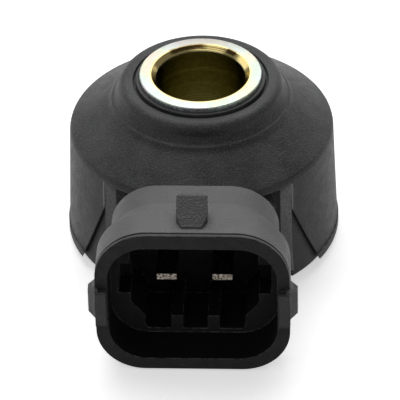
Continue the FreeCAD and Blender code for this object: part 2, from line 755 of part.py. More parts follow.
def make_pieces():
    sleeve = make_sleeve()
    stack = [
        flat_ring("insulator_lower", "stack_inner", "stack_radius", "flange_thickness", "contact_lower_base"),
        make_contact("contact_lower", "contact_lower_base", "piezo_base", "left"),
        flat_ring("piezo_ring", "stack_inner", "stack_radius", "piezo_base", "contact_upper_base"),
        make_contact("contact_upper", "contact_upper_base", "insulator_upper_base", "right"),
        flat_ring("insulator_upper", "stack_inner", "stack_radius", "insulator_upper_base", "mass_base"),
        flat_ring("insulating_bush", "bush_inner", "bush_outer", "flange_thickness", "mass_base"),
        make_mass(),
        make_spring(),
        make_nut(),
    ]
    wiring = [
        make_terminal("terminal_left", "left", "piezo_base"),
        make_terminal("terminal_right", "right", "insulator_upper_base"),
        make_resistor(),
        make_lead("resistor_lead_left", "left"),
        make_lead("resistor_lead_right", "right"),
    ]
    contacts = [item for item in stack if item.Label.startswith("contact")]
    housing = make_housing([sleeve] + contacts + wiring)
    return [housing, sleeve] + stack + wiring


def write_parts(items):
    os.makedirs("parts", exist_ok=True)
    for item in items:
        item.Shape.exportStep(f"parts/{item.Label}.step")
        solids = len(item.Shape.Solids)
        print(f"{item.Label}: {solids} solid(s), {item.Shape.Volume:.2f} mm3")


pieces = make_pieces()
doc.recompute()
check(pieces)
write_parts(pieces)
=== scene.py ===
"""Looks of a washer-type engine knock sensor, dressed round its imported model.

The frame is the model's own: the bolt axis is Z, the contact face is at height zero and the
connector opens to -Y. Sizes are written in millimetres, and MM turns them to metres where they meet
a mesh, a shader or the camera. Lamps are given in metres. Noise scales and waves are per metre.
"""
import json
import logging
import math
from dataclasses import dataclass, field
from enum import Enum
from typing import NamedTuple, Optional, Union

import bpy
import numpy as np
from mathutils import Matrix, Vector


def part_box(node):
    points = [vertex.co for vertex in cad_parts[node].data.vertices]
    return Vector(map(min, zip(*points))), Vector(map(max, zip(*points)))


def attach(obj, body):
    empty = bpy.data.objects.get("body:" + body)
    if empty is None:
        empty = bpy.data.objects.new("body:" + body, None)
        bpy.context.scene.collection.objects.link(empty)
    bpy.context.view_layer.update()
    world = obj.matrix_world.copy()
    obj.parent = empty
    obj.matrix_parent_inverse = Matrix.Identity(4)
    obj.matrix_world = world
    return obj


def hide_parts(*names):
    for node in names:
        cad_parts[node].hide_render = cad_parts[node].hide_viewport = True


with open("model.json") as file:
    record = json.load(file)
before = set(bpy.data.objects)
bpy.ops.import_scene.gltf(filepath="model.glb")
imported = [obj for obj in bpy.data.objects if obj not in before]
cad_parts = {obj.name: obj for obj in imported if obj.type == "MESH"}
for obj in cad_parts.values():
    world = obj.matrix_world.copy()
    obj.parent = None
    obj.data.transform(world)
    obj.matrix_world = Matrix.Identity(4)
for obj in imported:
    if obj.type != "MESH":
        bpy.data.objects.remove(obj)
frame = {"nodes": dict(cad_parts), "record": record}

MM = 0.001
ROOT = "root"
SHARP_ANGLE = math.radians(35)
AROUND = 256
ARC_STEPS = 9
# A colour Mix node repeats its sockets' names, so its share, A, B and result go by number.
MIX_INPUTS, MIX_OUTPUT = (0, 6, 7), 2
LOG = logging.getLogger("knock_sensor")
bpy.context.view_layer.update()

Socket = Union[float, tuple, bpy.types.NodeSocket]
Span = tuple[float, float]


class Slot(Enum):
    """Material slots of the record."""

    MOULDING = "moulding"
    PLATED_STEEL = "plated_steel"
    FILM = "insulating_film"
    CONTACT_BRASS = "contact_brass"
    CERAMIC = "piezo_ceramic"
    TURNED_STEEL = "turned_steel"
    SPRING_STEEL = "spring_steel"
    TINNED_BRASS = "tinned_brass"
    RESISTOR = "resistor_body"
    WIRE = "tinned_wire"


# ---- surfaces


class Corner(NamedTuple):
    """A corner of a turned profile: its radius from the bolt axis, its height and its rounding."""

    radius: float
    height: float
    rounding: float


def rounded_profile(corners: list[Corner]) -> np.ndarray:
    """Round every corner of a closed profile.

    Formula: at each corner the two unit directions to its neighbours give the half angle. The arc
    starts and ends rounding / tan(half) from the corner, its centre lies rounding / sin(half) along
    the bisector, and its points turn from the start to the end by pi minus twice the half angle.

    Args:
        corners: the profile's corners in order, in millimetres.

    Returns:
        Points of the profile, as rows of radius and height.
    """
    table = np.array(corners)
    here, rounding = table[:, :2], table[:, 2]
    back = np.roll(here, 1, axis=0) - here
    ahead = np.roll(here, -1, axis=0) - here
    back /= np.linalg.norm(back, axis=1, keepdims=True)
    ahead /= np.linalg.norm(ahead, axis=1, keepdims=True)
    half = np.arccos(np.clip((back * ahead).sum(1), -1, 1)) / 2
    middle = back + ahead
    middle /= np.linalg.norm(middle, axis=1, keepdims=True)
    centre = here + middle * (rounding / np.sin(half))[:, None]
    start = here + back * (rounding / np.tan(half))[:, None] - centre
    side = np.sign(ahead[:, 0] * back[:, 1] - ahead[:, 1] * back[:, 0])
    turn = (side * (np.pi - 2 * half))[:, None] * np.linspace(0, 1, ARC_STEPS)
    angle = np.arctan2(start[:, 1], start[:, 0])[:, None] + turn
    arc = np.stack([np.cos(angle), np.sin(angle)], axis=-1) * rounding[:, None, None]
    return (centre[:, None, :] + arc).reshape(-1, 2)


def surface_of_revolution(profile: np.ndarray) -> np.ndarray:
    """Turn a profile round the bolt axis: (r cos u, r sin u, z), with u from 0 to a full turn.

    Args:
        profile: rows of radius and height.

    Returns:
        A grid of points, columns by profile points by three.
    """
    u = np.linspace(0, 2 * np.pi, AROUND, endpoint=False)[:, None]
    radius = profile[:, 0]
    height = np.broadcast_to(profile[:, 1], (AROUND, len(profile)))
    return np.stack([radius * np.cos(u), radius * np.sin(u), height], -1)


def section_along_path(path: np.ndarray, section: np.ndarray, scale: np.ndarray) -> np.ndarray:
    """Carry a section along a path that lies in a plane of constant X.

    Formula: the tangent is the path's own difference, the section's first axis is X, its second is
    X crossed with the tangent, and each station scales the section.

    Args:
        path: stations, rows of X, Y and Z.
        section: rows of across and thick.
        scale: rows of the across and thick factors, one for each station.

    Returns:
        A grid of points, stations by section points by three.
    """
    across = np.array([1.0, 0, 0])
    tangent = np.gradient(path, axis=0)
    tangent /= np.linalg.norm(tangent, axis=1, keepdims=True)
    thick = np.cross(across, tangent)
    side = section[None, :, 0, None] * scale[:, None, 0, None] * across
    up = section[None, :, 1, None] * scale[:, None, 1, None] * thick[:, None, :]
    return path[:, None, :] + side + up


def make_piece(name: str, grid: np.ndarray, capped: bool) -> bpy.types.Object:
    """Put a grid of points in a mesh object whose faces point outwards.

    Args:
        name: the piece's name.
        grid: rows by columns by three, in millimetres; the columns close on themselves.
        capped: True closes both end rows with a face, False joins the last row to the first.

    Returns:
        The new object, at the origin.
    """
    rows, columns = grid.shape[:2]
    index = np.arange(rows * columns).reshape(rows, columns)
    lower = index[:-1] if capped else index
    upper = index[1:] if capped else np.roll(index, -1, axis=0)
    ring = [lower, upper, np.roll(upper, -1, axis=1), np.roll(lower, -1, axis=1)]
    quads = np.stack(ring, -1).reshape(-1, 4)
    caps = [index[0], index[-1][::-1]] if capped else []
    points = grid.reshape(-1, 3) * MM
    a, b, c, d = points[quads].swapaxes(0, 1)
    volume = (a * (np.cross(b, c) + np.cross(c, d))).sum()
    if volume < 0:
        quads, caps = quads[:, ::-1], [cap[::-1] for cap in caps]
    mesh = bpy.data.meshes.new(name)
    mesh.from_pydata(points.tolist(), [], quads.tolist() + [cap.tolist() for cap in caps])
    mesh.validate()
    mesh.shade_smooth()
    mesh.set_sharp_from_angle(angle=SHARP_ANGLE)
    piece = bpy.data.objects.new(name, mesh)
    bpy.context.scene.collection.objects.link(piece)
    return piece


# ---- shader building


class SocketKind(Enum):
    """Kinds of socket on a shared effect."""

    VALUE = "NodeSocketFloat"
    COLOUR = "NodeSocketColor"
    VECTOR = "NodeSocketVector"

    @classmethod
    def of(cls, value: Socket) -> "SocketKind":
        """The kind that holds a default: four numbers are a colour and three a vector."""
        if isinstance(value, tuple):
            return cls.COLOUR if len(value) == 4 else cls.VECTOR
        return cls.VALUE


class Tree:
    """Short calls for building one node tree."""

    def __init__(self, tree: bpy.types.NodeTree) -> None:
        """Take over a tree and empty it."""
        self.tree = tree
        tree.nodes.clear()

    def set(self, socket: bpy.types.NodeSocket, value: Optional[Socket]) -> None:
        """Link an input, give it a constant, or leave it as it is.

        Args:
            socket: the input.
            value: a socket to link, a constant, or None.
        """
        if isinstance(value, bpy.types.NodeSocket):
            self.tree.links.new(value, socket)
        elif value is not None:
            socket.default_value = value

    def node(self, kind: str, inputs: Optional[dict] = None, **settings: object) -> bpy.types.Node:
        """Add a node.

        Args:
            kind: the node's type.
            inputs: values or links by socket name or number.
            settings: properties of the node.

        Returns:
            The node.
        """
        made = self.tree.nodes.new(kind)
        for key, value in settings.items():
            setattr(made, key, value)
        for key, value in (inputs or {}).items():
            self.set(made.inputs[key], value)
        return made

    def effect(self, group: bpy.types.NodeTree, values: dict) -> bpy.types.NodeSocket:
        """Place a shared effect with its own values.

        Args:
            group: the effect.
            values: values or links by the names of the effect's inputs.

        Returns:
            The effect's output.
        """
        return self.node("ShaderNodeGroup", values, node_tree=group).outputs[0]

    def math(
        self, kind: str, a: Socket, b: Optional[Socket] = None, clamp: bool = False
    ) -> bpy.types.NodeSocket:
        """One math operation."""
        return self.node("ShaderNodeMath", {0: a, 1: b}, operation=kind, use_clamp=clamp).outputs[0]

    def product(self, first: Socket, *others: Socket) -> bpy.types.NodeSocket:
        """Multiply values.

        Args:
            first: the first factor.
            others: the factors after it.

        Returns:
            Their product.
        """
        result = first
        for factor in others:
            result = self.math("MULTIPLY", result, factor)
        return result

    def vector(self, kind: str, inputs: dict, output: str = "Vector") -> bpy.types.NodeSocket:
        """One vector operation."""
        return self.node("ShaderNodeVectorMath", inputs, operation=kind).outputs[output]

    def mix(self, share: Socket, a: Socket, b: Socket) -> bpy.types.NodeSocket:
        """Blend two colours.

        Args:
            share: 0 gives the first colour and 1 the second.
            a: the first colour.
            b: the second colour; three plain numbers are taken as opaque.

        Returns:
            The blend.
        """
        if isinstance(b, tuple) and len(b) == 3:
            b = (*b, 1)
        made = self.node("ShaderNodeMix", data_type="RGBA")
        for number, value in zip(MIX_INPUTS, (share, a, b)):
            self.set(made.inputs[number], value)
        return made.outputs[MIX_OUTPUT]

    def ramp(self, value: Socket, span: Span, out: Span = (0, 1)) -> bpy.types.NodeSocket:
        """Map a value smoothly from one range to another.

        Args:
            value: what is mapped.
            span: where it starts and ends.
            out: what it becomes there.

        Returns:
            The mapped value.
        """
        inputs = dict(enumerate((value, *span, *out)))
        return self.node("ShaderNodeMapRange", inputs, interpolation_type="SMOOTHSTEP").outputs[0]

    def place(self) -> bpy.types.NodeSocket:
        """Object coordinates, in metres."""
        return self.node("ShaderNodeTexCoord").outputs["Object"]

    def axes(self, vector: Socket) -> list[bpy.types.NodeSocket]:
        """The X, Y and Z of a vector."""
        return list(self.node("ShaderNodeSeparateXYZ", {0: vector}).outputs)

    def axis_distance(self, x: Socket, y: Socket) -> bpy.types.NodeSocket:
        """Distance from the bolt axis: the root of x squared plus y squared."""
        return self.math("SQRT", self.math("ADD", self.product(x, x), self.product(y, y)))

    def noise(
        self, scale: Socket, detail: float, rough: float, where: Optional[Socket] = None
    ) -> bpy.types.NodeSocket:
        """A noise value, on object coordinates where no other place is given.

        Args:
            scale: waves per metre.
            detail: how many finer layers lie on it.
            rough: how strong they are.
            where: the coordinates.

        Returns:
            The noise, from 0 to 1.
        """
        where = where or self.place()
        inputs = {"Vector": where, "Scale": scale, "Detail": detail, "Roughness": rough}
        return self.node("ShaderNodeTexNoise", inputs).outputs[0]


def source(socket: bpy.types.NodeSocket) -> bpy.types.NodeSocket:
    """What feeds an input now."""
    return socket.links[0].from_socket


def new_group(
    name: str, takes: dict[str, Socket], gives: str, kind: SocketKind
) -> tuple[bpy.types.NodeTree, Tree, bpy.types.NodeOutputs, bpy.types.NodeSocket]:
    """Start a shader node group with named sockets.

    Args:
        name: the group's name.
        takes: input names with their default values.
        gives: the output's name.
        kind: the output's kind.

    Returns:
        The group, its builder, what it takes and the socket for what it gives.
    """
    group = bpy.data.node_groups.new(name, "ShaderNodeTree")
    build = Tree(group)
    for label, value in takes.items():
        held = SocketKind.of(value).value
        made = group.interface.new_socket(label, in_out="INPUT", socket_type=held)
        made.default_value = value
    group.interface.new_socket(gives, in_out="OUTPUT", socket_type=kind.value)
    taken = build.node("NodeGroupInput").outputs
    return group, build, taken, build.node("NodeGroupOutput").inputs[gives]


class Effects:
    """The effects that several finishes share, each a node group built once."""

    def __init__(self) -> None:
        """Build every group."""
        self.grain = self._grain()
        self.drift = self._drift()
        self.rings = self._rings()
        self.scuffs = self._scuffs()
        self.zone = self._zone()

    @staticmethod
    def _grain(slower: float = 0.09, slow_share: float = 0.8) -> bpy.types.NodeTree:
        """Mould grain: fine rounded pimples with a slower unevenness under them.

        Args:
            slower: the unevenness' scale beside that of the pimples.
            slow_share: its height beside theirs.

        Returns:
            The group.
        """
        takes = {"Scale": 9000.0}
        group, build, take, give = new_group("fine_grain", takes, "Height", SocketKind.VALUE)
        fine = build.noise(take["Scale"], detail=2, rough=0.6)
        slow = build.noise(build.product(take["Scale"], slower), detail=2, rough=0.5)
        build.set(give, build.math("ADD", fine, build.product(slow, slow_share)))
        return group

    @staticmethod
    def _drift(span: Span = (0.35, 0.65)) -> bpy.types.NodeTree:
        """Slow drift between two colours.

        Args:
            span: where the noise starts and ends its way from the first to the second.

        Returns:
            The group.
        """
        takes = {"First": (0.5, 0.5, 0.5, 1), "Second": (0.6, 0.6, 0.6, 1), "Scale": 300.0}
        group, build, take, give = new_group("colour_drift", takes, "Color", SocketKind.COLOUR)
        share = build.ramp(build.noise(take["Scale"], detail=4, rough=0.6), span)
        build.set(give, build.mix(share, take["First"], take["Second"]))
        return group

    @staticmethod
    def _rings(uneven_scale: float = 900.0) -> bpy.types.NodeTree:
        """Turning marks: waves in the distance from the bolt axis plus the height, slightly uneven.

        Args:
            uneven_scale: the scale of the unevenness.

        Returns:
            The group.
        """
        takes = {"Waves": 24000.0}
        group, build, take, give = new_group("turning_marks", takes, "Height", SocketKind.VALUE)
        x, y, z = build.axes(build.place())
        reach = build.math("ADD", build.axis_distance(x, y), z)
        wave = build.math("SINE", build.product(reach, take["Waves"]))
        build.set(give, build.product(wave, build.noise(uneven_scale, detail=3, rough=0.6)))
        return group

    @staticmethod
    def _scuffs(patch_scale: float = 160.0) -> bpy.types.NodeTree:
        """Scuffs: thin stretched streaks that show only in a few patches.

        Args:
            patch_scale: the scale of the patches.

        Returns:
            The group.
        """
        tilt, stretch = (0.4, 0.9, 0.7), (1, 9, 3)
        patches, streaks = (0.52, 0.66), (0.60, 0.70)
        takes = {"Streaks": 700.0, "Amount": 0.5}
        group, build, take, give = new_group("handling_scuffs", takes, "Mask", SocketKind.VALUE)
        inputs = {"Vector": build.place(), "Rotation": tilt, "Scale": stretch}
        turned = build.node("ShaderNodeMapping", inputs).outputs[0]
        streak = build.noise(take["Streaks"], detail=2, rough=0.5, where=turned)
        patch = build.ramp(build.noise(patch_scale, detail=2, rough=0.5), patches)
        build.set(give, build.product(build.ramp(streak, streaks), patch, take["Amount"]))
        return group

    @staticmethod
    def _zone() -> bpy.types.NodeTree:
        """A soft-edged box on the part: 1 inside, 0 outside.

        Formula: one minus the distance outside the box over the edge's width, where the distance is
        the largest of the three axes'.

        Returns:
            The group.
        """
        takes = {"Centre": (0.0, 0.0, 0.0), "Half": (0.001, 0.001, 0.001), "Edge": 0.0001}
        group, build, take, give = new_group("box_zone", takes, "Mask", SocketKind.VALUE)
        away = build.vector("SUBTRACT", {0: build.place(), 1: take["Centre"]})
        size = build.vector("ABSOLUTE", {0: away})
        x, y, z = build.axes(build.vector("SUBTRACT", {0: size, 1: take["Half"]}))
        most = build.math("MAXIMUM", build.math("MAXIMUM", x, y), z)
        share = build.math("DIVIDE", most, take["Edge"])
        build.set(give, build.math("SUBTRACT", 1.0, share, clamp=True))
        return group


# ---- finishes


@dataclass(frozen=True)
class Finish:
    """A finish: its two tones, and how rough, grained, turned and worn its surface is.

    Drift and grain are noise scales. The grain's depth is in millimetres. Scuffs go from 0 to 1.
    """

    name: str
    first: tuple
    second: tuple
    roughness: Span = (0.35, 0.5)
    metallic: float = 0.0
    drift: float = 300.0
    gloss_scale: float = 4.0
    gloss_span: Span = (0.3, 0.7)
    grain: float = 9000.0
    grain_depth: float = 0.004
    grain_strength: float = 0.6
    turned: bool = False
    scuffs: float = 0.0
    scuff_gain: float = 2.5
    scuff_lift: float = 0.02

    def scuff_tone(self) -> tuple:
        """The tone of a scuff, brighter than the second one."""
        return tuple(min(1.0, part * self.scuff_gain + self.scuff_lift) for part in self.second)

    def start(self, effects: Effects) -> tuple[bpy.types.Material, Tree, bpy.types.Node]:
        """Make the material with its tones, roughness and relief.

        Args:
            effects: the shared groups.

        Returns:
            The material, its builder and its Principled BSDF.
        """
        material = bpy.data.materials.new(self.name)
        material.use_nodes = True
        build = Tree(material.node_tree)
        shader = build.node("ShaderNodeBsdfPrincipled", {"Metallic": self.metallic})
        tones = {"First": (*self.first, 1), "Second": (*self.second, 1), "Scale": self.drift}
        tone = build.effect(effects.drift, tones)
        scuff = build.effect(effects.scuffs, {"Amount": self.scuffs})
        build.set(shader.inputs["Base Color"], build.mix(scuff, tone, self.scuff_tone()))
        gloss = build.noise(self.drift * self.gloss_scale, detail=3, rough=0.6)
        build.set(shader.inputs["Roughness"], build.ramp(gloss, self.gloss_span, self.roughness))
        height = build.effect(effects.grain, {"Scale": self.grain})
        if self.turned:
            height = build.math("ADD", height, build.effect(effects.rings, {}))
        relief = {
            "Height": height, "Strength": self.grain_strength, "Distance": self.grain_depth * MM,
        }
        build.set(shader.inputs["Normal"], build.node("ShaderNodeBump", relief).outputs[0])
        build.node("ShaderNodeOutputMaterial", {"Surface": shader.outputs[0]})
        return material, build, shader

    def make(self, effects: Effects) -> bpy.types.Material:
        """The finished material."""
        return self.start(effects)[0]


class Zone(NamedTuple):
    """A box on the part: its centre and half sizes in millimetres, and its share from 0 to 1."""

    centre: tuple
    half: tuple
    share: float


@dataclass(frozen=True)
class MouldedPlastic(Finish):
    """Black glass-filled plastic: bright specks, edges with wear and painted highlights, and zones.

    The latch and the side pads are coarse. The flats carry painted light, and neck and shroud a
    little of it. The socket carries painted shade for its depth and is matt; the mouth's rim
    carries some too.
    """

    reflection: float = 0.3
    coarse_zones: tuple[Zone, ...] = ()
    coarse_tone: tuple = (0.11, 0.11, 0.11)
    coarse_scale: float = 0.7
    coarse_depth: float = 0.18
    coarse_strength: float = 1.0
    # Painted light: these zones lighten the flats, and the neck and shroud a little.
    painted_light_zones: tuple[Zone, ...] = ()
    painted_light_tone: tuple = (0.56, 0.56, 0.56)
    # Painted shade: these zones darken the socket, for its depth, and part of the mouth's rim.
    painted_shade_zones: tuple[Zone, ...] = ()
    painted_shade_tone: tuple = (0.001, 0.001, 0.001)
    painted_shade_zone_roughness: float = 0.4
    speck_tone: tuple = (0.13, 0.13, 0.132)
    speck_scale: float = 1.2
    speck_span: Span = (0.5, 0.72)
    speck_share: float = 0.62
    edge_radius: float = 0.14
    edge_samples: int = 6
    # The edge tone is partly wear and partly painted highlight, on convex and concave edges alike.
    edge_wear_and_highlight_tone: tuple = (0.26, 0.26, 0.26)
    edge_turn: Span = (0.84, 0.985)
    edge_share: float = 0.8
    edge_patch_scale: float = 1900.0
    edge_patch_span: Span = (0.42, 0.62)

    @staticmethod
    def mask(build: Tree, effects: Effects, zones: tuple[Zone, ...]) -> bpy.types.NodeSocket:
        """One mask over several zones, the strongest counting.

        Args:
            build: the material's builder.
            effects: the shared groups.
            zones: the zones.

        Returns:
            The mask.
        """
        mask: Socket = 0.0
        for zone in zones:
            values = {
                "Centre": tuple(part * MM for part in zone.centre),
                "Half": tuple(part * MM for part in zone.half),
            }
            inside = build.product(build.effect(effects.zone, values), zone.share)
            mask = build.math("MAXIMUM", mask, inside)
        return mask

    def edge_wear_and_highlight(self, build: Tree, soft: Socket) -> bpy.types.NodeSocket:
        """Wear and painted highlight where the softened normal leaves the true one, broken up in
        patches.

        Args:
            build: the material's builder.
            soft: the softened normal.

        Returns:
            The mask of the wear and the painted highlight.
        """
        true = build.node("ShaderNodeNewGeometry").outputs["Normal"]
        turn = build.vector("DOT_PRODUCT", {0: soft, 1: true}, "Value")
        patches = build.noise(self.edge_patch_scale, detail=3, rough=0.6)
        return build.product(
            build.ramp(turn, self.edge_turn, (self.edge_share, 0)),
            build.ramp(patches, self.edge_patch_span),
        )

    def make(self, effects: Effects) -> bpy.types.Material:
        """The plastic with its zones, painted light and shade, softened edges, wear and painted
        highlights.

        Args:
            effects: the shared groups.

        Returns:
            The material.
        """
        material, build, shader = self.start(effects)
        build.set(shader.inputs["Specular IOR Level"], self.reflection)
        radius = {"Radius": self.edge_radius * MM}
        soft = build.node("ShaderNodeBevel", radius, samples=self.edge_samples).outputs[0]
        fine = source(shader.inputs["Normal"])
        build.set(fine.node.inputs["Normal"], soft)
        coarse = self.mask(build, effects, self.coarse_zones)
        pimples = build.effect(effects.grain, {"Scale": self.grain * self.coarse_scale})
        relief = {
            "Height": build.product(pimples, coarse), "Strength": self.coarse_strength,
            "Distance": self.coarse_depth * MM, "Normal": fine,
        }
        build.set(shader.inputs["Normal"], build.node("ShaderNodeBump", relief).outputs[0])
        pale = self.mask(build, effects, self.painted_light_zones)
        dark = self.mask(build, effects, self.painted_shade_zones)
        sparkle = build.noise(self.grain * self.speck_scale, detail=2, rough=0.5)
        specks = build.ramp(sparkle, self.speck_span, (0, self.speck_share))
        tone = source(shader.inputs["Base Color"])
        # Painted light on flats, neck and shroud, painted shade in the socket and on the rim, and
        # edges with wear and painted highlight.
        for share, colour in (
            (pale, self.painted_light_tone), (specks, self.speck_tone), (coarse, self.coarse_tone),
            (dark, self.painted_shade_tone), (self.edge_wear_and_highlight(build, soft), self.edge_wear_and_highlight_tone),
        ):
            tone = build.mix(share, tone, colour)
        build.set(shader.inputs["Base Color"], tone)
        matt = build.product(dark, self.painted_shade_zone_roughness)
        plain = source(shader.inputs["Roughness"])
        build.set(shader.inputs["Roughness"], build.math("ADD", plain, matt, clamp=True))
        return material


@dataclass(frozen=True)
class PassivatedZinc(Finish):
    """Bright zinc plate with a yellow passivated tint: gold chamfer, olive bore, faint rainbow.

    Each fade is how far beyond its radius a tint starts and ends, in millimetres. Painted shade
    darkens the back, coming in over a span of Y. Stain angles are in radians, each with its half
    width.
    """

    bore_radius: float = 4.2
    chamfer_radius: float = 4.65
    bore_fade: Span = (0.02, 0.12)
    stain_fade: Span = (0.1, 0.22)
    chamfer_fade: Span = (-0.05, 0.3)
    uneven_scale: float = 900.0
    uneven_width: float = 0.35
    gold: tuple = (0.86, 0.67, 0.25)
    gold_share: float = 0.9
    gold_smoothing: float = 0.45
    olive: tuple = (0.40, 0.375, 0.19)
    olive_light: tuple = (0.64, 0.61, 0.36)
    line_scale: float = 1700.0
    line_span: Span = (0.48, 0.68)
    rainbow: tuple = (
        (0.66, 0.46, 0.36), (0.62, 0.60, 0.36), (0.44, 0.62, 0.44), (0.46, 0.58, 0.64),
        (0.62, 0.48, 0.58),
    )
    rainbow_share: float = 0.42
    rainbow_scale: float = 210.0
    rainbow_span: Span = (0.3, 0.7)
    lathe_waves: float = 33000.0
    lathe_share: float = 0.12
    brown: tuple = (0.10, 0.055, 0.015)
    stain_share: float = 0.92
    stain_angles: tuple = ((1.90, 0.40), (0.91, 0.12))
    stain_edge: Span = (0.75, 1.1)
    stain_wander: float = 0.22
    # Painted shade: the back of the plate is darker and greyer.
    painted_back_shade_tone: tuple = (0.38, 0.36, 0.33)
    painted_back_shade_span: Span = (2.6, 6.2)

    @staticmethod
    def beyond(radius: float, fade: Span) -> Span:
        """A fade's start and end in metres, from its radius."""
        return tuple((radius + step) * MM for step in fade)

    def stains(self, build: Tree, x: Socket, y: Socket, uneven: Socket) -> bpy.types.NodeSocket:
        """Brown patches, each given by its angle round the bolt axis and its half width.

        Args:
            build: the material's builder.
            x: the X coordinate.
            y: the Y coordinate.
            uneven: a noise that makes the patches' edges wander.

        Returns:
            The patches' mask.
        """
        wander = build.product(uneven, self.stain_wander)
        angle = build.math("ADD", build.math("ARCTAN2", y, x), wander)
        mask: Socket = 0.0
        for middle, half in self.stain_angles:
            mean = middle + self.stain_wander / 2
            away = build.math("ABSOLUTE", build.math("SUBTRACT", angle, mean))
            edge = tuple(half * part for part in self.stain_edge)
            mask = build.math("MAXIMUM", mask, build.ramp(away, edge, (1, 0)))
        return mask

    def hues(self, build: Tree, radius: Socket) -> bpy.types.NodeSocket:
        """The faint rainbow: slow patches of hue, with fine rings from the lathe.

        Args:
            build: the material's builder.
            radius: the distance from the bolt axis.

        Returns:
            The hue.
        """
        rings = build.math("SINE", build.product(radius, self.lathe_waves))
        patches = build.noise(self.rainbow_scale, detail=2, rough=0.5)
        along = build.math(
            "ADD", build.ramp(patches, self.rainbow_span), build.product(rings, self.lathe_share)
        )
        hue = build.node("ShaderNodeValToRGB", {0: along})
        steps = hue.color_ramp.elements
        for number, colour in enumerate(self.rainbow):
            step = steps[number] if number < 2 else steps.new(1.0)
            step.position, step.color = number / (len(self.rainbow) - 1), (*colour, 1)
        return hue.outputs[0]

    def bore_tone(self, build: Tree, z: Socket) -> bpy.types.NodeSocket:
        """The bore's tone: light and dark lines round it, from a noise of the height alone.

        Args:
            build: the material's builder.
            z: the height.

        Returns:
            The tone.
        """
        height = build.node("ShaderNodeCombineXYZ", {2: z}).outputs[0]
        lines = build.noise(self.line_scale, detail=4, rough=0.6, where=height)
        return build.mix(build.ramp(lines, self.line_span), (*self.olive, 1), self.olive_light)

    def make(self, effects: Effects) -> bpy.types.Material:
        """The plate: tints by distance from the bolt axis and angle round it, and painted shade at
        the back.

        Args:
            effects: the shared groups.

        Returns:
            The material.
        """
        material, build, shader = self.start(effects)
        x, y, z = build.axes(build.place())
        radius = build.axis_distance(x, y)
        uneven = build.noise(self.uneven_scale, detail=3, rough=0.65)
        shift = build.product(build.math("SUBTRACT", uneven, 0.5), self.uneven_width * MM)
        edge = build.math("ADD", radius, shift)
        chamfer = build.ramp(edge, self.beyond(self.chamfer_radius, self.chamfer_fade), (1, 0))
        bore = build.ramp(radius, self.beyond(self.bore_radius, self.bore_fade), (1, 0))
        outer = build.ramp(edge, self.beyond(self.bore_radius, self.stain_fade))
        # Painted shade towards the back of the plate.
        back = build.ramp(y, self.beyond(0, self.painted_back_shade_span))
        stain = build.product(self.stains(build, x, y, uneven), chamfer, outer, self.stain_share)
        tone = source(shader.inputs["Base Color"])
        for share, colour in (
            (self.rainbow_share, self.hues(build, radius)), (back, self.painted_back_shade_tone),
            (build.product(chamfer, self.gold_share), self.gold), (stain, self.brown),
            (bore, self.bore_tone(build, z)),
        ):
            tone = build.mix(share, tone, colour)
        build.set(shader.inputs["Base Color"], tone)
        plain = source(shader.inputs["Roughness"])
        smooth = build.math("SUBTRACT", 1.0, build.product(chamfer, self.gold_smoothing))
        build.set(shader.inputs["Roughness"], build.product(plain, smooth))
        return material


SIDES = (1, -1)

